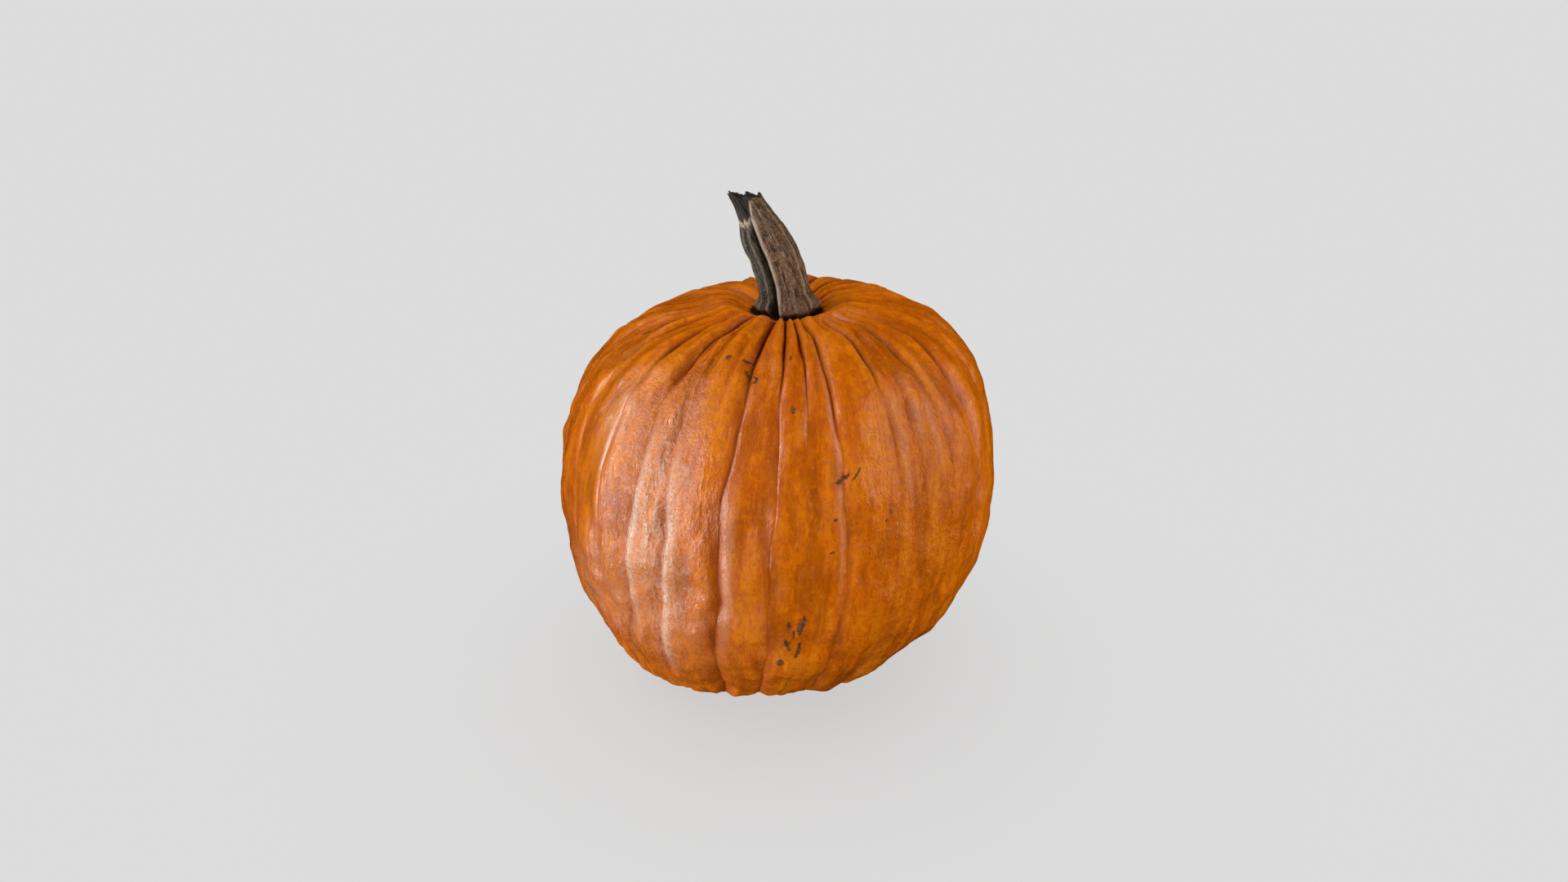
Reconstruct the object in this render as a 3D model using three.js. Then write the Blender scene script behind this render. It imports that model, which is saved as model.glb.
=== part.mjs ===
// A ripe carving pumpkin with its dry stem, standing on the flat spot of its blossom end.
// Millimetres, +Z up. The origin is the centre of the flat foot. The front faces -Y, azimuths are
// in degrees from the front towards +X, and latitudes are in degrees from the widest level upwards.

import * as THREE from 'three';
import { LoftGeometry } from 'three/addons/geometries/LoftGeometry.js';

const { lerp, smoothstep, degToRad, radToDeg, euclideanModulo } = THREE.MathUtils;

// Fruit: half width, heights above and below the widest level, and how full each half is.
const RADIUS = 135;
const CROWN = 118;
const BELLY = 126;
const CROWN_POWER = 0.69;
const BELLY_POWER = 0.668;

// Flat foot, and the flat seat that the stem grows from.
const FOOT_RADIUS = 30;
const SEAT_RADIUS = 21;
const SEAT_DOME = 0.1;

// Hollow round the stem: a wide shallow funnel with a narrow pit at its bottom.
const FUNNEL_DEPTH = 13;
const FUNNEL_RADIUS = 49;
const PIT_DEPTH = 5;
const PIT_RADIUS = 27;

// The fruit leans towards +X as it rises, and its blossom end lies towards -X.
const LEAN = 0.058;
const FOOT_SHIFT = -10;

// Creases between the ribs. A crease is a sharp line with wide, soft shoulders.
const SHOULDER_WIDTH = 3.6;
const LINE_WIDTH = 0.8;
const LINE_SHARE = 0.2;

// Traced creases: azimuth high up, at the widest level and low down, strength, lowest and highest
// latitude. The few that stop short divide one rib in two.
const FRONT_CREASES = [
  [-66, -61, -58, 0.7, -65, 90],
  [-49, -47, -51, 0.7, -80, 90],
  [-36, -37, -43, 1.0, -80, 90],
  [-28, -27, -30, 0.8, -80, 38],
  [-11.5, -13, -14, 1.5, -68, 90],
  [-1, -1, -1, 0.9, -80, 90],
  [6.5, 6, 6, 0.8, 42, 90],
  [13.5, 16, 15, 0.9, -78, 90],
  [29.5, 29, 29, 0.8, -80, 90],
  [36, 35, 34, 0.5, -30, 45],
  [44.5, 45.5, 46, 0.7, -80, 90],
];

// The other creases follow round the back at a steady pace, each a little off its even place.
const BACK_CREASES = 16;
const BACK_WANDER = 2.4;

// Low swells and hollows that make the fruit uneven: azimuth, latitude, height.
const SWELLS = [
  [90, 45, 1.7],
  [90, 15, -2.7],
  [90, -50, -3.0],
  [-90, 70, -4.5],
  [-90, -10, -3.0],
  [-90, -40, -4.0],
  [-90, -64, 9.0],
  [0, -30, 1.2],
  [165, 20, 2.0],
];
const SWELL_AZIMUTH_WIDTH = 50;
const SWELL_LATITUDE_WIDTH = 22;

// Rings of the fruit's surface: even steps of latitude, then even steps inwards to the seat.
const SIDE_RINGS = 25;
const CROWN_RINGS = 11;
const CROWN_LATITUDE = 66;
const LIP_WIDTH = 1.6;

// Stem: rise and sideways reach of its centre line, radius, flare at the foot, narrowing at the tip.
const STEM_RISE = 67;
const STEM_REACH = -24;
const STEM_RADIUS = 14.8;
const STEM_FLARE = 4.4;
const STEM_TAPER = 7.5;
const STEM_RINGS = 20;
const STEM_GAP = 0.3;

// Grooves down the stem: azimuth and depth. The ridges lie between them.
const STEM_GROOVES = [
  [-53, 1.6],
  [-22, 4.2],
  [51, 1.3],
  [105, 3.0],
  [160, 1.8],
  [215, 3.0],
  [262, 1.8],
];
const GROOVE_WIDTH = 9;
const GROOVE_LIP = 6;

// Torn tip: how far its end slants across the stem, and how ragged its edge is.
const TEAR_SLANT = 5.5;
const TEAR_RAGGED = 1.1;
const TEAR_DEPTH = 3;
const PITH_DEPTH = 1.5;

function angleBetween(a, b) {
  return Math.abs(euclideanModulo(a - b + 180, 360) - 180);
}

function allCreases() {
  const last = FRONT_CREASES.at(-1)[1];
  const pace = (360 + FRONT_CREASES[0][1] - last) / (BACK_CREASES + 1);
  const back = Array.from({ length: BACK_CREASES }, (_, i) => {
    const azimuth = last + pace * (i + 1) + BACK_WANDER * Math.sin(2.4 * i);
    const strength = 0.85 + 0.15 * Math.cos(1.9 * i);
    const drift = 2 * Math.sin(1.3 * i + 0.5);
    return [azimuth - drift, azimuth, azimuth + drift, strength, -85, 90];
  });
  return [...FRONT_CREASES, ...back];
}

const CREASES = allCreases();

// Azimuth of a crease at a latitude: it drifts from its widest-level place above and below.
function creaseAzimuth([high, middle, low], latitude) {
  const end = latitude > 0 ? high : low;
  const reach = latitude > 0 ? 60 : 50;
  return lerp(middle, end, smoothstep(Math.abs(latitude), 0, reach));
}

// How deep the creases cut at a place on the skin, where 1 is the bottom of a full crease.
function creaseCut(azimuth, latitude) {
  return CREASES.reduce((cut, crease) => {
    const [, , , strength, lowest, highest] = crease;
    const away = angleBetween(azimuth, creaseAzimuth(crease, latitude));
    const wide = (1 - LINE_SHARE) * Math.exp(-away / SHOULDER_WIDTH);
    const line = LINE_SHARE * Math.exp(-away / LINE_WIDTH);
    const starts = smoothstep(latitude, lowest - 12, lowest + 4);
    const stops = 1 - smoothstep(latitude, highest - 4, highest + 12);
    return cut + strength * starts * stops * (wide + line);
  }, 0);
}

// Full depth of a crease, deepest on the shoulder.
function creaseDepth(latitude) {
  const shoulder = smoothstep(latitude, 10, 50) * (1 - smoothstep(latitude, 70, 90));
  return 2.5 * smoothstep(latitude, -90, -60) + 0.9 * shoulder;
}

function swellHeight(azimuth, latitude) {
  return SWELLS.reduce((height, [swellAzimuth, swellLatitude, swell]) => {
    const across = angleBetween(azimuth, swellAzimuth) / SWELL_AZIMUTH_WIDTH;
    const along = (latitude - swellLatitude) / SWELL_LATITUDE_WIDTH;
    return height + swell * Math.exp(-across * across - along * along);
  }, 0);
}

function smoothRadius(latitude) {
  const power = latitude > 0 ? CROWN_POWER : BELLY_POWER;
  return RADIUS * Math.pow(Math.cos(degToRad(latitude)), power);
}

function latitudeAtRadius(radius, power) {
  return radToDeg(Math.acos(Math.pow(radius / RADIUS, 1 / power)));
}

const FOOT_LATITUDE = -latitudeAtRadius(FOOT_RADIUS, BELLY_POWER);
const FOOT_LEVEL = BELLY * Math.sin(degToRad(FOOT_LATITUDE));
const SEAT_LATITUDE = latitudeAtRadius(SEAT_RADIUS, CROWN_POWER);

// A point of the skin, measured from the middle of the widest level.
function skinFromMiddle(azimuth, latitude) {
  const upper = latitude > 0;
  const cosine = Math.cos(degToRad(latitude));
  const sine = Math.sin(degToRad(latitude));
  const radius = smoothRadius(latitude);
  const funnel = upper ? FUNNEL_DEPTH * Math.exp(-Math.pow(radius / FUNNEL_RADIUS, 2)) : 0;
  const pit = upper ? PIT_DEPTH * Math.exp(-Math.pow(radius / PIT_RADIUS, 4)) : 0;
  const height = (upper ? CROWN : BELLY) * sine - funnel - pit;

  // Creases and swells push along the rough outward normal, and fade out at the foot and the seat.
  const edge = upper ? SEAT_RADIUS : FOOT_RADIUS;
  const creases = smoothstep(radius, edge, edge + (upper ? 10 : 35));
  const swells = smoothstep(radius, FOOT_RADIUS, FOOT_RADIUS + 35);
  const push = swells * swellHeight(azimuth, latitude)
    - creases * creaseDepth(latitude) * creaseCut(azimuth, latitude);
  const sideways = cosine + (0.25 * radius) / RADIUS;
  const length = Math.hypot(sideways, sine);
  const finalRadius = radius + (push * sideways) / length;
  const z = Math.max(height + (push * sine) / length, FOOT_LEVEL);

  const turn = degToRad(azimuth);
  const bottomShift = FOOT_SHIFT * Math.pow(THREE.MathUtils.clamp((-latitude - 20) / 70, 0, 1), 2);
  return new THREE.Vector3(
    finalRadius * Math.sin(turn) + LEAN * z + bottomShift,
    -finalRadius * Math.cos(turn),
    z,
  );
}

function ringCentre(latitude) {
  return skinFromMiddle(90, latitude).add(skinFromMiddle(-90, latitude)).multiplyScalar(0.5);
}

const FOOT_CENTRE = ringCentre(FOOT_LATITUDE);
const SEAT_CENTRE = ringCentre(SEAT_LATITUDE).sub(FOOT_CENTRE);

// Columns keep to the creases: one on each crease, one on each lip, and one along each rib.
function ringAzimuths(latitude) {
  const azimuths = CREASES.map((crease) => creaseAzimuth(crease, latitude));
  return azimuths.flatMap((azimuth, i) => {
    const next = i + 1 < azimuths.length ? azimuths[i + 1] : azimuths[0] + 360;
    return [azimuth, azimuth + LIP_WIDTH, (azimuth + next) / 2, next - LIP_WIDTH];
  });
}

function ringLatitudes() {
  const sides = Array.from({ length: SIDE_RINGS }, (_, i) =>
    lerp(FOOT_LATITUDE, CROWN_LATITUDE, i / SIDE_RINGS));
  const outer = smoothRadius(CROWN_LATITUDE);
  const crown = Array.from({ length: CROWN_RINGS + 1 }, (_, i) =>
    latitudeAtRadius(lerp(outer, SEAT_RADIUS, i / CROWN_RINGS), CROWN_POWER));
  return [...sides, ...crown];
}

function buildFruit() {
  const rings = ringLatitudes().map((latitude) =>
    ringAzimuths(latitude).map((azimuth) => skinFromMiddle(azimuth, latitude).sub(FOOT_CENTRE)));
  const domeTop = SEAT_CENTRE.clone().add(new THREE.Vector3(0, 0, 2 * SEAT_DOME));
  rings.push(rings.at(-1).map((point) => point.clone().lerp(domeTop, 0.5)));
  const geometry = new LoftGeometry(rings, { capStart: true, capEnd: true });
  const rind = new THREE.MeshStandardMaterial({ color: 0xc8640f, roughness: 0.42, metalness: 0 });
  const fruit = new THREE.Mesh(geometry, rind);
  fruit.name = 'fruit';
  return fruit;
}

// Half thickness of the stem at a share of its length: flared lobes at the foot, narrow at the tip.
function stemRadius(share) {
  const flare = STEM_FLARE * Math.exp(-Math.pow(share / 0.13, 2));
  const tuck = 2 * (1 - smoothstep(share, 0, 0.05));
  return STEM_RADIUS + flare - tuck - STEM_TAPER * smoothstep(share, 0.62, 1);
}

function grooveDepth(azimuth, share) {
  const cut = STEM_GROOVES.reduce((depth, [grooveAzimuth, full]) =>
    depth + full * Math.exp(-angleBetween(azimuth, grooveAzimuth) / GROOVE_WIDTH), 0);
  return (cut * stemRadius(share)) / STEM_RADIUS;
}

function stemAzimuths() {
  return STEM_GROOVES.flatMap(([azimuth], i) => {
    const next = i + 1 < STEM_GROOVES.length ? STEM_GROOVES[i + 1][0] : STEM_GROOVES[0][0] + 360;
    const ridge = [1, 2, 3].map((k) => lerp(azimuth + GROOVE_LIP, next - GROOVE_LIP, (k - 1) / 2));
    return [azimuth, ...ridge];
  });
}

// How far the torn edge stands along the stem at an azimuth.
function tearHeight(azimuth) {
  const turn = degToRad(azimuth);
  return TEAR_RAGGED * (Math.sin(5 * turn) + 0.6 * Math.sin(9 * turn + 1)) - TEAR_SLANT * Math.sin(turn);
}

function buildStem() {
  const line = new THREE.CubicBezierCurve3(
    new THREE.Vector3(0, 0, STEM_GAP),
    new THREE.Vector3(0, 0, STEM_RISE * 0.3),
    new THREE.Vector3(STEM_REACH * 0.46, 0, STEM_RISE * 0.7),
    new THREE.Vector3(STEM_REACH, 0, STEM_RISE),
  );
  const across = new THREE.Vector3(0, 1, 0);
  const ring = (share, scale, lift) => {
    const centre = line.getPointAt(share);
    const along = line.getTangentAt(share);
    const sideways = new THREE.Vector3().crossVectors(across, along);
    return stemAzimuths().map((azimuth) => {
      const turn = degToRad(azimuth);
      const radius = scale * (stemRadius(share) - grooveDepth(azimuth, share));
      return centre.clone()
        .addScaledVector(sideways, radius * Math.sin(turn))
        .addScaledVector(across, -radius * Math.cos(turn))
        .addScaledVector(along, lift(azimuth));
    });
  };
  const rings = Array.from({ length: STEM_RINGS + 1 }, (_, i) => {
    const share = Math.pow(i / STEM_RINGS, 1.3);
    const slant = smoothstep(share, 0.8, 1);
    return ring(share, 1, (azimuth) => slant * tearHeight(azimuth));
  });
  rings.push(ring(1, 0.65, (azimuth) => 0.65 * tearHeight(azimuth) - TEAR_DEPTH));
  rings.push(ring(1, 0.3, (azimuth) => 0.3 * tearHeight(azimuth) - PITH_DEPTH));

  const geometry = new LoftGeometry(rings, { capStart: true, capEnd: true });
  const bark = new THREE.MeshStandardMaterial({ color: 0x6b5238, roughness: 0.85, metalness: 0 });
  const stem = new THREE.Mesh(geometry, bark);
  stem.name = 'stem';
  stem.position.copy(SEAT_CENTRE);
  return stem;
}

const pumpkin = new THREE.Group();
pumpkin.add(buildFruit(), buildStem());

export default pumpkin;
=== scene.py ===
"""A ripe carving pumpkin with its dry stem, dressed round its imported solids.

Everything is in metres, with +Z up and the front towards -Y."""

import bpy
import numpy as np
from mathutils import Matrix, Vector


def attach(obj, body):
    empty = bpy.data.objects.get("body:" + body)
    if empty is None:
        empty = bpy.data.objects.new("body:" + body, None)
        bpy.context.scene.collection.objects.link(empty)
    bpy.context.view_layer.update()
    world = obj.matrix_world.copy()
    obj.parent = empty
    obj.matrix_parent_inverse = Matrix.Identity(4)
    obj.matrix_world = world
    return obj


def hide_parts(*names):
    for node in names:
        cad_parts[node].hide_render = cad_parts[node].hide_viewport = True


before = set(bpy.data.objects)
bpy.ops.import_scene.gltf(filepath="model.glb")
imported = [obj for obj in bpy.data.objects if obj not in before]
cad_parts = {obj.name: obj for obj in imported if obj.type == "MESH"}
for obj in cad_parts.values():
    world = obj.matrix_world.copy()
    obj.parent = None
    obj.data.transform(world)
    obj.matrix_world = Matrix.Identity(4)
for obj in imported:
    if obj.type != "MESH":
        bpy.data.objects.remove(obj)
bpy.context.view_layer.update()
scene = bpy.context.scene

# ---- Camera ----
# A short lens looks down on the pumpkin from in front, from a little over half a metre away. It is held
# level from side to side and points at the middle of the fruit, and everything is sharp.
CAMERA_TARGET = Vector((0.0202, 0.0, 0.1453))
CAMERA_DISTANCE = 0.6582
CAMERA_ELEVATION = np.radians(24.05)
CAMERA_LENS = 24.44
CAMERA_NEAR = 0.01

camera_data = bpy.data.cameras.new("camera")
camera_data.lens = CAMERA_LENS
camera_data.clip_start = CAMERA_NEAR
camera = bpy.data.objects.new("camera", camera_data)
camera_arm = Vector((0.0, -np.cos(CAMERA_ELEVATION), np.sin(CAMERA_ELEVATION)))
camera.location = CAMERA_TARGET + CAMERA_DISTANCE * camera_arm
camera.rotation_euler = (np.pi / 2 - CAMERA_ELEVATION, 0.0, 0.0)
scene.collection.objects.link(camera)
scene.camera = camera

# ---- Floor and studio light ----
# A pale light table before a pale backdrop. Soft boxes at the sides and a scrim on the left draw the long
# highlights, and the panels all round only fill. These lamps light nothing but the pumpkin, and each has its
# own strength for plain light and for what the skin mirrors. The floor has a wide soft lamp of its own.
FLOOR_HALF_WIDTH = 60.0
FLOOR_COLOUR = (0.12, 0.12, 0.12, 1.0)
FLOOR_ROUGHNESS = 0.9
FLOOR_GLOW = 0.58
FLOOR_WASH = 3.62
FLOOR_WASH_SPREAD = np.radians(100)
WHITE = (1.0, 1.0, 1.0, 1.0)
BACKDROP_LIGHT = 0.72
LAMPS = {
    # name: (place, width, height, watts of plain light, watts of mirrored light)
    "left_box": ((-0.95, -0.35, 0.20), 0.28, 0.80, 1.5, 24.0),
    "left_scrim": ((-0.94, -0.36, 0.10), 0.50, 1.40, 0.0, 10.0),
    "left_high": ((-0.92, 0.06, 0.72), 0.26, 0.36, 0.0, 4.5),
    "right_box": ((1.05, -0.25, 0.40), 0.45, 0.95, 11.0, 8.0),
    "low_board": ((-0.35, -0.95, 0.06), 1.20, 0.30, 6.2, 0.0),
    "top_panel": ((-0.50, -0.05, 1.02), 0.50, 0.50, 8.2, 0.0),
    "front_panel": ((0.0, -1.20, 0.95), 1.00, 0.60, 2.5, 0.0),
    "back_panel": ((0.15, 1.25, 0.30), 1.40, 0.80, 11.0, 0.0),
    "table_light": ((-0.45, -0.30, -0.40), 1.20, 1.20, 4.5, 0.0),
}


def material_nodes(name):
    """A new node material, its tree and its principled shader."""
    material = bpy.data.materials.new(name)
    material.use_nodes = True
    tree = material.node_tree
    shader = tree.nodes["Principled BSDF"]
    return material, tree, shader


def build_floor():
    """One square of glowing pale board, level under the pumpkin, and the soft lamp that washes it."""
    w = FLOOR_HALF_WIDTH
    mesh = bpy.data.meshes.new("floor")
    mesh.from_pydata([(-w, -w, 0), (w, -w, 0), (w, w, 0), (-w, w, 0)], [], [(0, 1, 2, 3)])
    floor = bpy.data.objects.new("floor", mesh)
    scene.collection.objects.link(floor)
    material, _, shader = material_nodes("floor_board")
    shader.inputs["Base Color"].default_value = FLOOR_COLOUR
    shader.inputs["Roughness"].default_value = FLOOR_ROUGHNESS
    shader.inputs["Specular IOR Level"].default_value = 0.0
    shader.inputs["Emission Color"].default_value = WHITE
    shader.inputs["Emission Strength"].default_value = FLOOR_GLOW
    mesh.materials.append(material)
    floor.visible_glossy = False
    floor.visible_diffuse = False

    washed = bpy.data.collections.new("washed")
    washed.objects.link(floor)
    light = bpy.data.lights.new("floor_wash", "SUN")
    light.energy = FLOOR_WASH
    light.angle = FLOOR_WASH_SPREAD
    lamp = bpy.data.objects.new("floor_wash", light)
    lamp.light_linking.receiver_collection = washed
    scene.collection.objects.link(lamp)


def add_lamp(name, place, width, height, power, mirrored):
    """A rectangular light that faces the middle of the fruit, and either gives plain light or is mirrored."""
    light = bpy.data.lights.new(name, "AREA")
    light.shape = "RECTANGLE"
    light.size = width
    light.size_y = height
    light.energy = power
    lamp = bpy.data.objects.new(name, light)
    lamp.location = place
    aim = CAMERA_TARGET - Vector(place)
    lamp.rotation_euler = aim.to_track_quat("-Z", "Y").to_euler()
    lamp.visible_camera = False
    lamp.visible_glossy = mirrored
    lamp.visible_diffuse = not mirrored
    lamp.light_linking.receiver_collection = pumpkin_pieces
    lamp.light_linking.blocker_collection = pumpkin_pieces
    scene.collection.objects.link(lamp)


def hang_backdrop():
    """The pale room behind, which only shows: it neither lights the pumpkin nor is mirrored in it."""
    world = bpy.data.worlds.new("room")
    scene.world = world
    world.use_nodes = True
    world.cycles_visibility.glossy = False
    world.cycles_visibility.diffuse = False
    background = world.node_tree.nodes["Background"]
    background.inputs["Color"].default_value = WHITE
    background.inputs["Strength"].default_value = BACKDROP_LIGHT


build_floor()
hang_backdrop()
pumpkin_pieces = bpy.data.collections.new("pumpkin_pieces")
for lamp_name, (place, width, height, plain_watts, mirror_watts) in LAMPS.items():
    if plain_watts:
        add_lamp(lamp_name, place, width, height, plain_watts, False)
    if mirror_watts:
        add_lamp(lamp_name + "_mirrored", place, width, height, mirror_watts, True)
scene.view_settings.view_transform = "Standard"

# ---- Fruit ----
# The rind of one whole fruit: a full round body, parted into ribs by creases that run from the stem to the
# blossom end, with low dents and lumps, and a hollow where the stem grows out. It stands on a flat spot.
RADIUS = 0.135
CROWN = 0.118
BELLY = 0.126
CROWN_POWER = 0.69
BELLY_POWER = 0.668
OUTWARD_BIAS = 0.25
FOOT_RADIUS = 0.030
SEAT_RADIUS = 0.021
SEAT_DOME = 0.0001
FUNNEL_DEPTH = 0.013
FUNNEL_RADIUS = 0.049
PIT_DEPTH = 0.005
PIT_RADIUS = 0.027
LEAN = 0.058
FOOT_SHIFT = -0.010
FOOT_EASE = 0.014
GROUND_CLEARANCE = 0.0012

# Creases: azimuth high up, at the widest level and low down, strength, lowest and highest latitude.
FRONT_CREASES = [
    (-66, -61, -58, 0.7, -65, 90),
    (-49, -47, -51, 0.7, -80, 90),
    (-36, -37, -43, 1.0, -80, 90),
    (-28, -27, -30, 0.8, -80, 38),
    (-11.5, -13, -14, 1.5, -68, 90),
    (-1, -1, -1, 0.9, -80, 90),
    (6.5, 6, 6, 0.8, 42, 90),
    (13.5, 16, 15, 0.9, -78, 90),
    (29.5, 29, 29, 0.8, -80, 90),
    (36, 35, 34, 0.5, -30, 45),
    (44.5, 45.5, 46, 0.7, -80, 90),
]
BACK_CREASES = 16
BACK_WANDER = 2.4
SHOULDER_WIDTH = 3.6
LINE_WIDTH = 0.8
LINE_SHARE = 0.2
CREASE_DEPTH = 0.0025
SHOULDER_DEPTH = 0.0009
CREASE_WANDER = 0.35
SEAT_REACH = 0.010
FOOT_REACH = 0.035

# Raised lips beside some creases, and fills where a crease runs shallow or, below nothing, sharper: which
# crease, degrees to the right of it, width, middle latitude, half length, height, and a lip's painted
# highlight.
LIPS = [
    (2, 1.8, 1.2, 8, 24, 0.0010, 0.9),
    (3, 1.8, 1.3, -3, 29, 0.0012, 0.85),
    (4, 1.8, 1.1, 2, 22, 0.0009, 0.5),
    (5, 2.2, 1.3, 54, 22, 0.0008, 0.0),
    (7, -1.3, 0.6, 30, 34, 0.0004, 0.2),
    (8, 2.0, 1.0, 34, 16, 0.0007, 0.15),
    (9, 2.4, 0.9, 42, 10, 0.0008, 0.15),
    (10, -2.4, 1.0, 36, 12, 0.0008, 0.15),
    (10, 3.0, 1.1, 44, 12, 0.0007, 0.1),
]
FILLS = [
    (4, 0.4, 3.6, 26, 24, 0.0022),
    (4, 0.2, 1.2, 32, 20, 0.0009),
    (8, 0.0, 3.0, 48, 26, 0.0008),
    (7, 0.0, 3.0, -12, 38, 0.0013),
    (5, 0.4, 3.2, 2, 40, 0.0019),
    (5, 0.2, 1.2, 4, 40, 0.0006),
    (1, 0.6, 3.4, 26, 30, 0.0018),
    (2, -0.3, 0.8, 10, 30, -0.0006),
    (3, -0.3, 0.8, 0, 34, -0.0006),
]

# Swells and hollows: azimuth, latitude, height.
SWELLS = [
    (90, 45, 0.0017),
    (90, 15, -0.0027),
    (90, -50, -0.0030),
    (-90, 70, -0.0045),
    (-90, -10, -0.0030),
    (-90, -40, -0.0040),
    (-90, -64, 0.0090),
    (0, -30, 0.0012),
    (165, 20, 0.0020),
]
SWELL_AZIMUTH_WIDTH = 50
SWELL_LATITUDE_WIDTH = 22

# Where the skin is lumpier, more fluted, bumpier or sleeker than elsewhere: how much, azimuth, latitude,
# width in azimuth and in latitude.
LUMPY = [(0.7, -36, -25, 34, 30), (0.6, 0, -34, 16, 24), (0.6, -18, 5, 8, 26)]
FLUTED = [(1.0, -32, 8, 14, 34), (2.2, -38, 53, 20, 13)]
BUMPY = [(1.6, -22, 4, 12, 28)]
SLEEK = [(0.9, -53, 20, 14, 18)]
CROWN_FLUTES = 1.6
CROWN_LATITUDES = (40, 72)
FRONT_AZIMUTH = 8
BACK_TURN = (85, 140)
BACK_CALM = 0.85

# Fineness of the skin, and the size of what only shows close up.
RIB_COLUMNS = 13
SKIN_ROWS = 262
FOOT_ROWS = 12
DENT_SIZE = 0.020
DENT_DEPTH = 0.0016
LUMP_SIZE = 0.0085
LUMP_DEPTH = 0.0005
WRINKLE_DEPTH = 0.0003
FURROW_DEPTH = 0.0008
PLEAT_DEPTH = 0.0038
PLEAT_START = 0.025
PLEAT_FADE = (0.045, 0.115)
ROLL_HEIGHT = 0.0026
ROLL_RADIUS = 0.034
ROLL_WIDTH = 0.011
LOW_FOLD_DEPTH = 0.0018
FOOT_CREASE_FILL = 0.7
SCAR_DIMPLE_RADIUS = 0.007
SCAR_DIMPLE_DEPTH = 0.0015


def smoothstep(x, low, high):
    """0 below low, 1 above high, and an S-shaped cubic between them."""
    t = np.clip((x - low) / (high - low), 0.0, 1.0)
    return t * t * (3.0 - 2.0 * t)


def angle_between(a, b):
    """The smaller angle between two azimuths, in degrees."""
    return np.abs((a - b + 180.0) % 360.0 - 180.0)


def lattice_noise(points, size, seed):
    """Smooth noise from -1 to 1: random values on a cubic lattice of the given size, blended between the
    eight corners round each point with S-shaped weights."""
    table = np.random.default_rng(seed).uniform(-1.0, 1.0, (32, 32, 32))
    cell = np.floor(points / size).astype(int)
    part = points / size - cell
    part = part * part * (3.0 - 2.0 * part)
    total = np.zeros(points.shape[:-1])
    for corner in np.ndindex(2, 2, 2):
        weight = np.prod(np.where(corner, part, 1.0 - part), axis=-1)
        index = (cell + corner) % 32
        total += weight * table[index[..., 0], index[..., 1], index[..., 2]]
    return total


def patch(azimuth, latitude, centre_azimuth, centre_latitude, azimuth_width, latitude_width):
    """A soft oval patch on the skin: 1 at its centre, falling as a bell curve both ways."""
    across = angle_between(azimuth, centre_azimuth) / azimuth_width
    along = (latitude - centre_latitude) / latitude_width
    return np.exp(-across**2 - along**2)


def patches(rows, azimuth, latitude):
    """The sum of several soft patches, each times how much there is of it."""
    return sum(much * patch(azimuth, latitude, *place) for much, *place in rows)


def all_creases():
    """The front creases, then the ones round the back: even steps, each moved a little by a sine."""
    last = FRONT_CREASES[-1][1]
    pace = (360.0 + FRONT_CREASES[0][1] - last) / (BACK_CREASES + 1)
    i = np.arange(BACK_CREASES)
    azimuth = last + pace * (i + 1) + BACK_WANDER * np.sin(2.4 * i)
    drift = 2.0 * np.sin(1.3 * i + 0.5)
    strength = 0.85 + 0.15 * np.cos(1.9 * i)
    low, high = np.full(BACK_CREASES, -85.0), np.full(BACK_CREASES, 90.0)
    back = np.stack([azimuth - drift, azimuth, azimuth + drift, strength, low, high], axis=1)
    return np.concatenate([np.array(FRONT_CREASES, float), back])


CREASES = all_creases()


def crease_azimuths(latitude):
    """Azimuth of every crease at each latitude: it drifts from its widest-level place above and below, and
    wanders a little by two sines. The creases are on a new last axis."""
    high, middle, low = CREASES[:, 0], CREASES[:, 1], CREASES[:, 2]
    lat = latitude[..., None]
    end = np.where(lat > 0, high, low)
    share = smoothstep(np.abs(lat), 0.0, np.where(lat > 0, 60.0, 50.0))
    phase = 2.1 * np.arange(len(CREASES))
    wander = np.sin(lat / 7.0 + phase) + 0.5 * np.sin(lat / 3.1 + 2.0 * phase)
    calm = smoothstep(lat, -88.0, -60.0) * (1.0 - smoothstep(lat, 60.0, 80.0))
    return middle + (end - middle) * share + CREASE_WANDER * wander * calm


def crease_parts(azimuth, latitude):
    """How strongly the soft shoulders and the sharp lines of the creases cut at each place: a sum over the
    creases of a falling exponential of the angle away from each."""
    away = angle_between(azimuth[..., None], crease_azimuths(latitude))
    lat = latitude[..., None]
    strength, lowest, highest = CREASES[:, 3], CREASES[:, 4], CREASES[:, 5]
    present = smoothstep(lat, lowest - 12, lowest + 4) * (1 - smoothstep(lat, highest - 4, highest + 12))
    wide = (strength * present * np.exp(-away / SHOULDER_WIDTH)).sum(-1)
    line = (strength * present * np.exp(-away / LINE_WIDTH)).sum(-1)
    return wide, line


def rib_arch(azimuth, latitude):
    """Height across each rib near the stem: 0 in the creases, 1 along the middle, round like a cord between.
    It comes from the share of the way from the crease on one side to the crease on the other."""
    whole = CREASES[:, 5] == 90
    offset = (azimuth[..., None] - crease_azimuths(latitude)[..., whole] + 180.0) % 360.0 - 180.0
    before = np.where(offset >= 0, offset, 360.0).min(-1)
    after = np.where(offset < 0, -offset, 360.0).min(-1)
    share = before / (before + after)
    return (4 * share * (1 - share)) ** 0.6


def raised(strips, azimuth, latitude, column):
    """Height (column 5) of the lips or fills, or how pale the lips are painted as a highlight (column 6): bell
    curves of the angle to the right of their creases, and flat-topped ones along them."""
    lines = crease_azimuths(latitude)
    return sum(
        strip[column] * np.exp(-(angle_between(azimuth, lines[..., strip[0]] + strip[1]) / strip[2]) ** 2
                               - ((latitude - strip[3]) / strip[4]) ** 4)
        for strip in strips
    )


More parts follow.
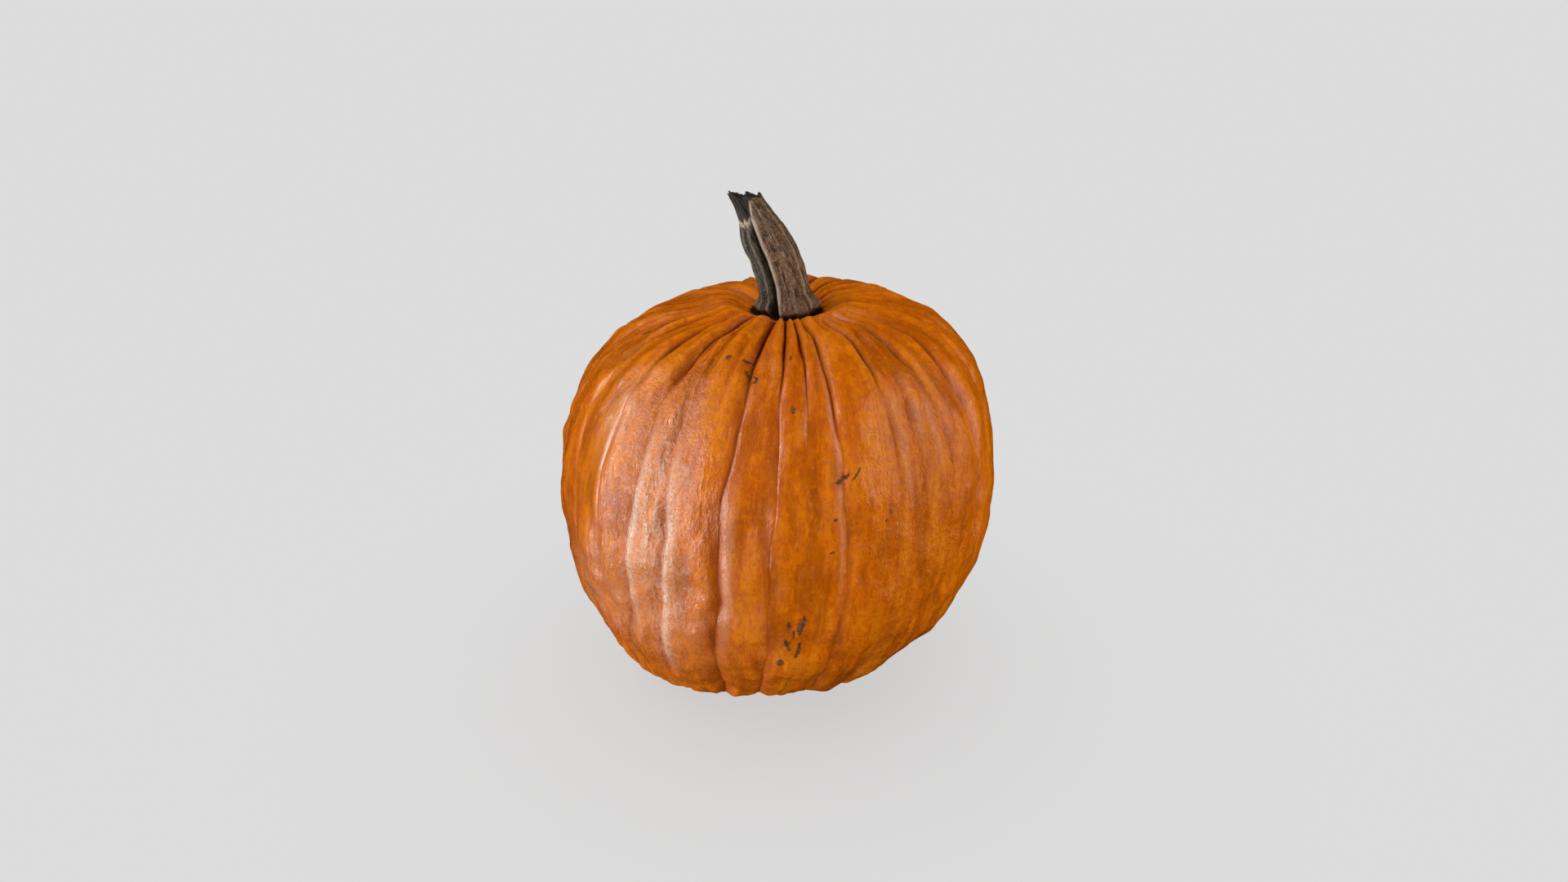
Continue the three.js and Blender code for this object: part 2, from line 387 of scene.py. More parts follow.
def smooth_radius(latitude):
    """Radius of the plain body: the cosine of the latitude to a power that fills out the shoulders."""
    power = np.where(latitude > 0, CROWN_POWER, BELLY_POWER)
    return RADIUS * np.maximum(np.cos(np.radians(latitude)), 0.0) ** power


def latitude_at_radius(radius, power):
    """The plain body's radius turned round: the latitude whose cosine, to the power, gives that radius."""
    return np.degrees(np.arccos((radius / RADIUS) ** (1.0 / power)))


FOOT_LATITUDE = -latitude_at_radius(FOOT_RADIUS, BELLY_POWER)
SEAT_LATITUDE = latitude_at_radius(SEAT_RADIUS, CROWN_POWER)
FOOT_LEVEL = BELLY * np.sin(np.radians(FOOT_LATITUDE))


def furrow_noise(azimuth, latitude):
    """Long shallow furrows down the ribs: noise on the unit circle, in cells far longer than they are wide."""
    turn = np.radians(azimuth)
    grain = np.stack([np.sin(turn), -np.cos(turn), latitude / 300.0], axis=-1)
    return lattice_noise(grain, 0.045, 5) + 0.6 * lattice_noise(grain, 0.022, 6)


def skin_relief(azimuth, latitude, radius, plain, creases, crease_cut):
    """Height of what the plain solid lacks. Dents, furrows and lumps are noise, stronger in some patches and
    fading at the foot and the seat. Round the stem every rib has a roll, and between the ribs there are pleats
    above and folds low down. Lips and fills follow the creases, which grow shallower towards the foot."""
    upper = latitude > 0
    turn = np.radians(azimuth)
    crown = smoothstep(latitude, *CROWN_LATITUDES)
    front = 1 - BACK_CALM * smoothstep(angle_between(azimuth, FRONT_AZIMUTH), *BACK_TURN)
    swells = smoothstep(radius, FOOT_RADIUS, FOOT_RADIUS + FOOT_REACH)

    dents = lattice_noise(plain, DENT_SIZE, 3) + 0.5 * lattice_noise(plain, DENT_SIZE / 2.2, 4)
    dents = DENT_DEPTH * (1 + patches(LUMPY, azimuth, latitude)) * dents * (1 - 0.6 * crown)
    flutes = 1 + CROWN_FLUTES * crown * front + patches(FLUTED, azimuth, latitude)
    furrows = FURROW_DEPTH * flutes * furrow_noise(azimuth, latitude)
    lumps = LUMP_DEPTH * (1 + patches(BUMPY, azimuth, latitude)) * lattice_noise(plain, LUMP_SIZE, 7)
    levels = np.stack([0.5 * np.sin(turn), -0.5 * np.cos(turn), latitude / 90.0], axis=-1)
    wrinkles = WRINKLE_DEPTH * smoothstep(latitude, -25, -50) * lattice_noise(levels, 0.055, 8)
    relief = (dents + furrows + lumps) * (1 - patches(SLEEK, azimuth, latitude)) + wrinkles

    arch = rib_arch(azimuth, latitude)
    pleats = smoothstep(radius, SEAT_RADIUS, PLEAT_START) * (1 - smoothstep(radius, *PLEAT_FADE)) * upper
    rolls = ROLL_HEIGHT * front * arch * upper * np.exp(-(((radius - ROLL_RADIUS) / ROLL_WIDTH) ** 2))
    pleat_depth = PLEAT_DEPTH * (0.3 + 0.7 * front)
    relief = relief * np.minimum(creases + pleats, 1) * swells - pleat_depth * pleats * (1 - arch) + rolls
    low_folds = smoothstep(latitude, -22, -42) * smoothstep(latitude, -68, -52) * ~upper
    relief = relief - LOW_FOLD_DEPTH * low_folds * (1 - arch) + raised(LIPS + FILLS, azimuth, latitude, 5)
    return relief + FOOT_CREASE_FILL * crease_cut * smoothstep(latitude, -52, -68)


def skin_from_middle(azimuth, latitude, fine):
    """Points of the skin, from the middle of the widest level. The plain body loses the funnel and the pit
    round the stem; creases, swells and, where fine is 1, the relief push it along its rough outward normal,
    though never below the ground, where fine skin rounds off; and the whole leans sideways with height."""
    upper = latitude > 0
    cosine, sine = np.cos(np.radians(latitude)), np.sin(np.radians(latitude))
    radius = smooth_radius(latitude)
    funnel = FUNNEL_DEPTH * np.exp(-((radius / FUNNEL_RADIUS) ** 2))
    pit = PIT_DEPTH * np.exp(-((radius / PIT_RADIUS) ** 4))
    height = np.where(upper, CROWN * sine - funnel - pit, BELLY * sine)

    edge = np.where(upper, SEAT_RADIUS, FOOT_RADIUS)
    creases = smoothstep(radius, edge, edge + np.where(upper, SEAT_REACH, FOOT_REACH))
    swells = smoothstep(radius, FOOT_RADIUS, FOOT_RADIUS + FOOT_REACH)
    shoulder = smoothstep(latitude, 10, 50) * (1 - smoothstep(latitude, 70, 90))
    depth = CREASE_DEPTH * smoothstep(latitude, -90, -60) + SHOULDER_DEPTH * shoulder
    wide, line = crease_parts(azimuth, latitude)
    crease_cut = creases * depth * ((1 - LINE_SHARE) * wide + LINE_SHARE * line)
    swell = sum(
        h * patch(azimuth, latitude, a, b, SWELL_AZIMUTH_WIDTH, SWELL_LATITUDE_WIDTH) for a, b, h in SWELLS
    )
    turn = np.radians(azimuth)
    plain = np.stack([radius * np.sin(turn), -radius * np.cos(turn), height], axis=-1)
    relief = skin_relief(azimuth, latitude, radius, plain, creases, crease_cut)
    push = swells * swell - crease_cut + fine * relief

    sideways = cosine + OUTWARD_BIAS * radius / RADIUS
    length = np.hypot(sideways, sine)
    final_radius = radius + push * sideways / length
    clear = height + push * sine / length - FOOT_LEVEL
    rounding = 2 * GROUND_CLEARANCE * fine * smoothstep(radius, FOOT_RADIUS, FOOT_RADIUS + FOOT_EASE)
    z = FOOT_LEVEL + 0.5 * (clear + np.sqrt(clear ** 2 + rounding ** 2))
    shift = FOOT_SHIFT * np.clip((-latitude - 20) / 70, 0, 1) ** 2
    return np.stack([final_radius * np.sin(turn) + LEAN * z + shift, -final_radius * np.cos(turn), z], axis=-1)


def ring_centre(latitude):
    """Middle of the skin at one latitude: the mean of its points at the right and at the left."""
    sides = skin_from_middle(np.array([90.0, -90.0]), np.full(2, latitude), 0.0)
    return sides.mean(axis=0)


FOOT_CENTRE = ring_centre(FOOT_LATITUDE)
SEAT_CENTRE = ring_centre(SEAT_LATITUDE) - FOOT_CENTRE


def skin(azimuth, latitude):
    """Points of the finished skin in the pumpkin's own frame, whose origin is the middle of the foot."""
    return skin_from_middle(azimuth, latitude, 1.0) - FOOT_CENTRE


def ring_faces(rows, columns):
    """Faces over rings of points: quads from each ring to the next, then a fan of triangles from the first
    ring and one from the last to their closing points, which follow the ring points."""
    i, j = np.meshgrid(np.arange(rows - 1), np.arange(columns), indexing="ij")
    here, right = i * columns + j, i * columns + (j + 1) % columns
    quads = np.stack([here, right, right + columns, here + columns], axis=-1).reshape(-1, 4)
    k = np.arange(columns)
    following = (k + 1) % columns
    first = np.stack([following, k, np.full(columns, rows * columns)], axis=-1)
    top = (rows - 1) * columns
    last = np.stack([top + k, top + following, np.full(columns, rows * columns + 1)], axis=-1)
    return quads, np.concatenate([first, last])


def new_piece(name, points, quads, fans, attributes):
    """A smooth object from points and faces, with named attributes: one value or vector for each point."""
    mesh = bpy.data.meshes.new(name)
    mesh.from_pydata(points, [], quads.tolist() + fans.tolist())
    mesh.polygons.foreach_set("use_smooth", np.ones(len(mesh.polygons), bool))
    for key, values in attributes.items():
        kind, field = ("FLOAT_VECTOR", "vector") if values.ndim == 2 else ("FLOAT", "value")
        layer = mesh.attributes.new(key, kind, "POINT")
        layer.data.foreach_set(field, values.astype(np.float32).ravel())
    mesh.update()
    piece = bpy.data.objects.new(name, mesh)
    scene.collection.objects.link(piece)
    pumpkin_pieces.objects.link(piece)
    return piece


def piece_from_rings(name, rings, closing_points, attributes):
    """A closed piece from rows x columns x 3 ring points and its two closing points."""
    quads, fans = ring_faces(*rings.shape[:2])
    points = np.concatenate([rings.reshape(-1, 3), np.array(closing_points)])
    return new_piece(name, points, quads, fans, attributes)


def skin_grid():
    """Azimuths and latitudes of the skin's grid. Rows keep even steps along the body's outline, and columns
    follow the creases and gather close to them, as the cosine of an even turn does at its ends."""
    dense = np.linspace(FOOT_LATITUDE, SEAT_LATITUDE, 4000)
    outline = skin_from_middle(np.full(dense.shape, 90.0), dense, 0.0)
    steps = np.linalg.norm(np.diff(outline, axis=0), axis=1)
    run = np.concatenate([[0.0], np.cumsum(steps)])
    latitude = np.interp(np.linspace(0, run[-1], SKIN_ROWS), run, dense)
    edges = crease_azimuths(latitude)
    following = np.concatenate([edges[:, 1:], edges[:, :1] + 360.0], axis=1)
    share = (1 - np.cos(np.pi * np.arange(RIB_COLUMNS) / RIB_COLUMNS)) / 2
    azimuth = edges[:, :, None] + (following - edges)[:, :, None] * share
    azimuth = azimuth.reshape(SKIN_ROWS, -1)
    return azimuth, np.broadcast_to(latitude[:, None], azimuth.shape)


# Where the colours and the gloss change over the skin: how much, azimuth, latitude, width in azimuth and in
# latitude. Bloom is a pale waxy film that also carries a painted highlight, shade is painted shade, the furrow
# shading patches strengthen the painted shade and light of the furrows, and leather is skin with deeper pores.
BLOOM_AND_HIGHLIGHT = [
    (0.8, -30, 13, 8, 24),
    (0.5, -48, 37, 6, 10),
    (0.35, -48, -16, 16, 14),
    (0.2, -24, -15, 9, 18),
    (0.08, 36, 38, 12, 12),
    (0.35, 205, 0, 40, 40),
]
OCHRE = [(1.0, -51, 23, 13, 18), (0.8, -64, 46, 16, 11), (0.5, -34, 50, 18, 12), (0.6, 120, 20, 30, 25)]
SHADE = [
    (0.9, 34, -40, 34, 18),
    (0.7, -5, 42, 10, 14),
    (0.4, 30, 64, 30, 10),
    (0.3, 5, -4, 9, 12),
    (0.4, 150, -20, 40, 40),
]
LEATHER = [(1.0, -33, 8, 17, 46), (0.8, 38, 15, 18, 45), (0.7, 180, 0, 60, 50), (-1.0, -60, 20, 13, 20)]
FURROW_SHADING_PATCHES = [(1.5, -38, 54, 26, 14)]
HOLLOW_SHADOW_INNER = 0.0188
HOLLOW_SHADOW_OUTER = 0.0240


def build_fruit():
    """The skin's rings, closed below by shrinking rings that dip in a shallow scar, and above by flat ones.
    The dip is a falling exponential of the fourth power of the distance from the foot's middle."""
    azimuth, latitude = skin_grid()
    rings = skin(azimuth, latitude)
    shares = np.linspace(1.0, 0.0, FOOT_ROWS + 2)[1:-1, None, None]
    foot_rings = rings[0] * shares
    distance = np.hypot(foot_rings[..., 0], foot_rings[..., 1])
    foot_rings[..., 2] += SCAR_DIMPLE_DEPTH * np.exp(-((distance / SCAR_DIMPLE_RADIUS) ** 4))
    seat_rings = SEAT_CENTRE + (rings[-1] - SEAT_CENTRE) * shares[::3]
    rings = np.concatenate([foot_rings[::-1], rings, seat_rings])
    below, above = len(foot_rings), len(seat_rings)
    az = np.concatenate([np.repeat(azimuth[:1], below, 0), azimuth, np.repeat(azimuth[-1:], above, 0)])
    rows = np.concatenate([np.full(below, -89.0), latitude[:, 0], np.full(above, 89.0)])
    lat = np.repeat(rows[:, None], az.shape[1], 1)

    wide, line = crease_parts(az, lat)
    # Painted shade in the folds between the ribs, near the stem and low down.
    fold_shade = (1 - rib_arch(az, lat)) ** 1.5
    fold_shade = fold_shade * np.maximum(smoothstep(lat, 30, 68), 0.7 * smoothstep(lat, -35, -60))
    # A painted shadow, nearly black, in the hollow round the stem.
    from_seat = np.hypot(rings[..., 0] - SEAT_CENTRE[0], rings[..., 1] - SEAT_CENTRE[1])
    hollow = (1 - smoothstep(from_seat, HOLLOW_SHADOW_INNER, HOLLOW_SHADOW_OUTER)) * (lat > 0)
    turn = np.radians(az)
    grain = np.stack([np.sin(turn), -np.cos(turn), lat / 90.0], axis=-1)

    def closed(values, first=0.0, last=0.0):
        """One value for each ring point, then one for each closing point."""
        return np.concatenate([values.reshape(-1, *values.shape[2:]), np.array([first, last])])

    attributes = {
        "crease_wide": closed(wide),
        "crease_line": closed(line),
        "bloom_and_highlight": closed(patches(BLOOM_AND_HIGHLIGHT, az, lat)),
        "lips": closed(raised(LIPS, az, lat, 6)),
        "ochre": closed(patches(OCHRE, az, lat)),
        "shade": closed(patches(SHADE, az, lat)),
        "fold_shade": closed(fold_shade),
        "hollow": closed(hollow, 0.0, 1.0),
        "furrow_shading": closed(furrow_noise(az, lat) * (1 + patches(FURROW_SHADING_PATCHES, az, lat))),
        "leather": closed(patches(LEATHER, az, lat)),
        "latitude": closed(lat, -90.0, 90.0),
        "grain": closed(grain, (0.0, 0.0, -1.0), (0.0, 0.0, 1.0)),
    }
    foot_middle = (0.0, 0.0, SCAR_DIMPLE_DEPTH)
    seat_middle = tuple(SEAT_CENTRE + np.array([0.0, 0.0, SEAT_DOME]))
    return piece_from_rings("rind", rings, [foot_middle, seat_middle], attributes)


RIND_ORANGE = (0.50, 0.098, 0.0010, 1.0)
RIND_BRIGHT = (0.72, 0.175, 0.0025, 1.0)
RIND_RED = (0.35, 0.062, 0.0010, 1.0)
RIND_OCHRE = (0.50, 0.142, 0.0055, 1.0)
RIND_GOLD = (0.70, 0.205, 0.0050, 1.0)
RIND_BLOOM_AND_HIGHLIGHT = (0.78, 0.48, 0.33, 1.0)
RIND_LIP_HIGHLIGHT = (0.80, 0.57, 0.42, 1.0)
RIND_PAINTED_UNDERLIGHT = (0.88, 0.20, 0.003, 1.0)
RIND_BROWN = (0.18, 0.034, 0.002, 1.0)
RIND_DARK = (0.06, 0.014, 0.003, 1.0)
RIND_HOLLOW_SHADOW = (0.010, 0.004, 0.002, 1.0)
RIND_SPECULAR = 0.22


class Nodes:
    """A short hand for one material's nodes: each call adds nodes and gives back their output."""

    def __init__(self, tree):
        self.tree = tree

    def put(self, node, socket, value):
        """Links an output to an input, or sets the input to a constant."""
        if isinstance(value, bpy.types.NodeSocket):
            self.tree.links.new(value, node.inputs[socket])
        else:
            node.inputs[socket].default_value = value

    def add(self, kind, output, inputs, **settings):
        node = self.tree.nodes.new("ShaderNode" + kind)
        for key, value in settings.items():
            setattr(node, key, value)
        for socket, value in inputs.items():
            self.put(node, socket, value)
        return node.outputs[output]

    def attribute(self, name, output="Fac"):
        return self.add("Attribute", output, {}, attribute_name=name)

    def object_place(self):
        return self.add("TexCoord", "Object", {})

    def stretched(self, vector, scale):
        return self.add("Mapping", "Vector", {"Vector": vector, "Scale": scale})

    def noise(self, vector, scale, detail=3.0, roughness=0.55):
        inputs = {"Vector": vector, "Scale": scale, "Detail": detail, "Roughness": roughness}
        return self.add("TexNoise", "Fac", inputs)

    def cells(self, vector, scale):
        return self.add("TexVoronoi", "Distance", {"Vector": vector, "Scale": scale})

    def spread(self, value, first, second, to_first=0.0, to_second=1.0):
        """An S-shaped step between two results as the value goes from first to second."""
        inputs = {"Value": value, "From Min": first, "From Max": second}
        inputs |= {"To Min": to_first, "To Max": to_second}
        return self.add("MapRange", "Result", inputs, interpolation_type="SMOOTHSTEP")

    def maths(self, operation, a, b):
        return self.add("Math", "Value", {0: a, 1: b}, operation=operation)

    def times(self, a, b):
        return self.maths("MULTIPLY", a, b)

    def blend(self, share, a, b):
        return self.add("Mix", 2, {0: share, 6: a, 7: b}, data_type="RGBA")

    def tinted(self, colour, layers):
        """Tints laid over a colour, each as its pattern goes from a first to a second value, up to a share."""
        for pattern, first, second, most, tint in layers:
            colour = self.blend(self.spread(pattern, first, second, 0.0, most), colour, tint)
        return colour

    def bumps(self, layers):
        """The normal after each pattern in turn has raised the surface: pattern, height, strength."""
        below = {}
        for pattern, height, strength in layers:
            inputs = {"Height": pattern, "Distance": height, "Strength": strength, **below}
            below = {"Normal": self.add("Bump", "Normal", inputs)}
        return below["Normal"]

    def join(self, shader, colour, roughness, specular, normal):
        """Joins the results to the shader's own inputs."""
        self.put(shader, "Base Color", colour)
        self.put(shader, "Roughness", roughness)
        self.put(shader, "Specular IOR Level", specular)
        self.put(shader, "Normal", normal)


def rind_material():
    """Waxy orange skin: mottled, streaked along the ribs, with painted shade in the creases and folds, pale on
    the flanks with a waxy film that is partly a painted highlight, pitted like leather."""
    material, tree, shader = material_nodes("rind")
    n = Nodes(tree)
    place = n.object_place()
    grain = n.attribute("grain", "Vector")
    streaks = n.noise(n.stretched(grain, (28.0, 28.0, 2.2)), 1.0, 4.0, 0.6)
    strokes = n.noise(n.stretched(grain, (90.0, 90.0, 40.0)), 1.0, 3.0, 0.65)
    clouds = n.noise(place, 24.0, 3.0, 0.5)
    blotches = n.noise(n.stretched(place, (1.0, 1.0, 0.5)), 120.0, 5.0, 0.68)
    mottle = n.noise(place, 300.0, 3.0, 0.65)
    speckle = n.noise(place, 700.0, 2.0, 0.6)
    pits = n.cells(n.stretched(place, (1.0, 1.0, 0.8)), 600.0)
    leather, furrow_shading = n.attribute("leather"), n.attribute("furrow_shading")

    # The ground colours, from the widest clouds to the smallest specks.
    colour = n.blend(n.spread(clouds, 0.30, 0.70, 0.15, 0.45), RIND_ORANGE, RIND_BRIGHT)
    # Painted light from below: the skin is painted lighter towards the bottom.
    colour = n.tinted(colour, [(n.attribute("latitude"), -35.0, -68.0, 0.9, RIND_PAINTED_UNDERLIGHT)])
    colour = n.blend(n.attribute("shade"), colour, RIND_RED)
    ochre = n.times(n.attribute("ochre"), n.spread(streaks, 0.35, 0.6, 0.5, 1.0))
    colour = n.blend(ochre, colour, RIND_OCHRE)
    colour = n.tinted(colour, [
        (streaks, 0.50, 0.68, 0.45, RIND_RED),
        (streaks, 0.48, 0.32, 0.42, RIND_BRIGHT),
        (blotches, 0.48, 0.66, 0.48, RIND_RED),
        (blotches, 0.48, 0.34, 0.42, RIND_GOLD),
        (strokes, 0.50, 0.66, 0.28, RIND_BROWN),
        (strokes, 0.46, 0.32, 0.28, RIND_GOLD),
        # Painted shade down in the furrows and painted light on their crests.
        (furrow_shading, -0.05, -0.70, 0.35, RIND_BROWN),
        (furrow_shading, 0.05, 0.60, 0.40, RIND_GOLD),
        (mottle, 0.50, 0.66, 0.50, RIND_RED),
        (mottle, 0.45, 0.32, 0.35, RIND_GOLD),
        (speckle, 0.56, 0.70, 0.30, RIND_BROWN),
    ])

    # Bloom that is partly a painted highlight, and lips painted pale as highlights, both rubbed off in small
    # holes.
    bloom_and_highlight = n.times(n.spread(speckle, 0.34, 0.54, 0.30, 1.0), n.spread(mottle, 0.36, 0.62, 0.55, 1.05))
    bloom_and_highlight = n.times(bloom_and_highlight, n.spread(streaks, 0.38, 0.60, 0.50, 1.1))
    bloom_and_highlight = n.times(bloom_and_highlight, n.spread(blotches, 0.38, 0.60, 0.50, 1.1))
    colour = n.blend(n.times(n.attribute("bloom_and_highlight"), bloom_and_highlight), colour, RIND_BLOOM_AND_HIGHLIGHT)
    # The lips are painted pale as a highlight.
    lips = n.times(n.attribute("lips"), n.spread(speckle, 0.34, 0.52, 0.25, 0.85))
    colour = n.blend(lips, colour, RIND_LIP_HIGHLIGHT)

    # Painted shade in the creases and folds, a painted shadow in the hollow, painted shade along the crease
    # lines, and scattered pores.
    crease_wide = n.attribute("crease_wide")
    colour = n.tinted(colour, [
        (crease_wide, 0.40, 1.4, 0.65, RIND_RED),
        (n.attribute("fold_shade"), 0.12, 0.90, 0.85, RIND_BROWN),
        (n.attribute("hollow"), 0.0, 0.75, 1.0, RIND_HOLLOW_SHADOW),
    ])
    # Painted shade along the crease lines, stronger on the leathery flanks.
    crease_line_shade = n.spread(n.attribute("crease_line"), 0.5, 1.6, 0.0, 0.50)
    crease_line_shade = n.times(n.times(crease_line_shade, n.spread(leather, 0.1, 0.9, 0.8, 1.5)), n.spread(clouds, 0.3, 0.6, 0.4, 1.0))
    colour = n.blend(crease_line_shade, colour, RIND_DARK)
    pores = n.spread(n.cells(place, 210.0), 0.12, 0.03)
    pores = n.times(pores, n.spread(n.noise(place, 60.0, 2.0), 0.5, 0.62))
    colour = n.blend(n.times(pores, 0.7), colour, RIND_DARK)

    gloss = n.maths("ADD", n.spread(mottle, 0.35, 0.65, 0.0, 0.10), n.spread(streaks, 0.38, 0.60, 0.20, 0.10))
    gloss = n.maths("ADD", gloss, n.spread(speckle, 0.3, 0.7, -0.02, 0.04))
    dull = n.times(n.spread(crease_wide, 0.25, 0.9, 0.0, 0.16), n.spread(leather, 0.75, 0.25))
    rough = n.spread(leather, -0.25, 0.85, 0.15, 1.0)
    normal = n.bumps([
        (n.spread(pits, 0.0, 0.35), 0.00015, rough),
        (speckle, 0.0003, rough),
        (strokes, 0.0004, rough),
        (mottle, 0.0012, rough),
        (blotches, 0.0036, rough),
        (streaks, 0.0010, rough),
    ])
    n.join(shader, colour, n.maths("ADD", gloss, dull), RIND_SPECULAR, normal)
    return material


rind = build_fruit()
rind.data.materials.append(rind_material())
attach(rind, "root")
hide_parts("fruit")

# ---- Scars ----
# Healed grazes on the skin: thin crusts of grey-brown cork, grown where a stem or a leaf rubbed the young
# fruit. Each is a flat ragged lens that lies along its own short path, half sunk in the rind.

# Half width, then the azimuths and latitudes the graze runs through.
SCARS = [
    (0.0011, [(-23.6, 60.2), (-21.2, 61.4)]),
    (0.0013, [(-15.8, 60.6), (-14.6, 60.8), (-13.2, 61.0)]),
    (0.0008, [(-12.0, 60.4), (-11.8, 59.6)]),
    (0.0012, [(-13.8, 57.4), (-13.0, 56.2), (-12.2, 55.2)]),
    (0.0008, [(-11.8, 55.0), (-10.6, 55.8), (-9.4, 55.0), (-9.6, 53.8), (-11.2, 53.8)]),
    (0.0008, [(1.4, 63.2), (1.4, 61.8)]),
    (0.0013, [(2.4, 46.6), (2.4, 45.0)]),
    (0.0014, [(13.2, 25.8), (14.2, 26.4)]),
    (0.0013, [(14.2, 26.6), (15.8, 27.6)]),
    (0.0007, [(16.6, 26.2), (17.8, 27.4), (19.0, 29.0)]),
    (0.0010, [(26.0, 16.8), (26.4, 15.6)]),
    (0.0009, [(25.0, 14.2), (25.5, 13.8)]),
    (0.0008, [(12.4, 16.2), (13.0, 16.6)]),
    (0.0009, [(12.0, 7.6), (12.6, 7.8)]),
    (0.0022, [(7.2, -10.4), (6.8, -12.0), (6.5, -15.0)]),
    (0.0010, [(3.8, -11.2), (3.6, -13.4)]),
    (0.0008, [(5.0, -13.8), (5.0, -16.4)]),
    (0.0018, [(3.2, -17.2), (4.3, -20.0)]),
    (0.0014, [(6.7, -18.4), (6.6, -20.6), (5.9, -22.4)]),
    (0.0017, [(2.7, -24.2), (2.5, -26.4)]),
    (0.0010, [(-76.0, 58.0), (-73.6, 64.0), (-73.4, 70.0)]),
    (0.0011, [(140.0, 34.0), (142.0, 30.0), (141.0, 26.0)]),
    (0.0015, [(172.0, -6.0), (174.0, -9.0)]),
    (0.0010, [(-150.0, 20.0), (-147.0, 23.0), (-144.0, 24.0)]),
]
SCAR_STATIONS = 22
SCAR_COLUMNS = 12
CRUST_HEIGHT = 0.00025
CRUST_ROOT = 0.0007
RAGGEDNESS = 0.9
END_REACH = 1.2
NORMAL_STEP = 0.4


def build_scars():
    """Rings along every path, all worked out together. Each path is stepped evenly, a lens shape with a ragged
    half width is laid across it, and its points go on the skin, raised or sunk along the skin's normal."""
    share = np.linspace(0, 1, SCAR_STATIONS)
    centre = []
    for half_width, path in SCARS:
        path = np.array(path)
        steps = np.linalg.norm(np.diff(path, axis=0), axis=1)
        run = np.concatenate([[0.0], np.cumsum(steps)])
        centre.append(np.stack([np.interp(share * run[-1], run, path[:, k]) for k in range(2)], axis=-1))
    centre = np.array(centre)
    half = np.array([half_width for half_width, path in SCARS])[:, None]
    azimuth, latitude = centre[..., 0], centre[..., 1]
    metres = np.radians(1.0) * RADIUS
    east = metres * np.cos(np.radians(latitude)) ** CROWN_POWER
    along = np.stack([np.gradient(azimuth, axis=1) * east, np.gradient(latitude, axis=1) * metres], axis=-1)
    along /= np.linalg.norm(along, axis=-1, keepdims=True)

    random = np.random.default_rng(41)
    rag = random.uniform(-1, 1, (len(SCARS), SCAR_STATIONS + 2, 2))
    rag = (rag[:, :-2] + 2 * rag[:, 1:-1] + rag[:, 2:]) / 4
    taper = np.sqrt(np.clip(np.sin(np.pi * np.linspace(0.02, 0.98, SCAR_STATIONS)), 0, 1))
    turn = 2 * np.pi * np.arange(SCAR_COLUMNS) / SCAR_COLUMNS
    side = np.where(np.cos(turn) > 0, rag[..., :1], rag[..., 1:])
    across = (half * taper)[..., None] * (1 + RAGGEDNESS * side) * np.cos(turn)
    ends = half * (share - 0.5) * END_REACH
    east_shift = (along[..., 1:] * across + along[..., :1] * ends[..., None]) / east[..., None]
    north_shift = (along[..., 1:] * ends[..., None] - along[..., :1] * across) / metres
    az, lat = azimuth[..., None] + east_shift, latitude[..., None] + north_shift
    base = skin(az, lat)
    sideways = skin(az + NORMAL_STEP, lat) - skin(az - NORMAL_STEP, lat)
    upward = skin(az, lat + NORMAL_STEP) - skin(az, lat - NORMAL_STEP)
    normal = np.cross(sideways, upward)
    normal /= np.linalg.norm(normal, axis=-1, keepdims=True)
    lift = np.where(np.sin(turn) > 0, CRUST_HEIGHT, CRUST_ROOT) * np.sin(turn) * taper[:, None]
    rings = base + lift[..., None] * normal

    # Every scar is a strip of rings, closed at both ends by a fan.
    count, each = len(SCARS), SCAR_STATIONS * SCAR_COLUMNS
    closing = np.stack([rings[:, 0].mean(axis=1), rings[:, -1].mean(axis=1)], axis=1)
    points = np.concatenate([rings.reshape(count, each, 3), closing], axis=1).reshape(-1, 3)
    step = (np.arange(count) * (each + 2))[:, None, None]
    quads, fans = ring_faces(SCAR_STATIONS, SCAR_COLUMNS)
    quads, fans = (quads + step).reshape(-1, 4), (fans + step).reshape(-1, 3)
    rim = np.tile(np.abs(np.cos(turn)), (count, SCAR_STATIONS))
    rim = np.concatenate([rim, np.ones((count, 2))], axis=1).ravel()
    return new_piece("scars", points, quads, fans, {"rim": rim})


CORK_DARK = (0.045, 0.020, 0.010, 1.0)
CORK_GREY = (0.150, 0.060, 0.024, 1.0)
CORK_RIM = (0.250, 0.062, 0.006, 1.0)
CORK_ROUGHNESS = 0.8
CORK_SPECULAR = 0.05


def cork_material():
    """Dull crusty cork, blotched dark and grey, that fades into the skin's brown at its rim."""
    material, tree, shader = material_nodes("scar_cork")
    n = Nodes(tree)
    place = n.object_place()
    crumbs = n.noise(place, 1100.0, 3.0, 0.6)
    blots = n.noise(place, 480.0, 3.0, 0.6)
    rim = n.maths("ADD", n.attribute("rim"), n.spread(crumbs, 0.3, 0.7, -0.25, 0.25))
    colour = n.tinted(CORK_DARK, [(blots, 0.40, 0.62, 1.0, CORK_GREY), (rim, 0.25, 0.85, 0.95, CORK_RIM)])
    n.join(shader, colour, CORK_ROUGHNESS, CORK_SPECULAR, n.bumps([(crumbs, 0.0004, 0.7)]))
    return material


scars = build_scars()
scars.data.materials.append(cork_material())
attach(scars, "root")

# ---- Stem ----
# The dry woody stalk that the fruit hung from, grown into the seat. Its ridges spread into rounded toes at the
# foot, and it bends to the left. On that side the bark has broken away short of the torn tip and leaves the
# dark, fibrous core standing out of a pale broken edge.
STEM_RISE = 0.067
STEM_REACH = -0.024
STEM_RADIUS = 0.0148
STEM_FLARE = 0.0044
STEM_TAPER = 0.0075
STEM_GAP = 0.0003
STEM_COLUMNS = 220
STEM_ROWS = 300
TIP_ROWS = 14

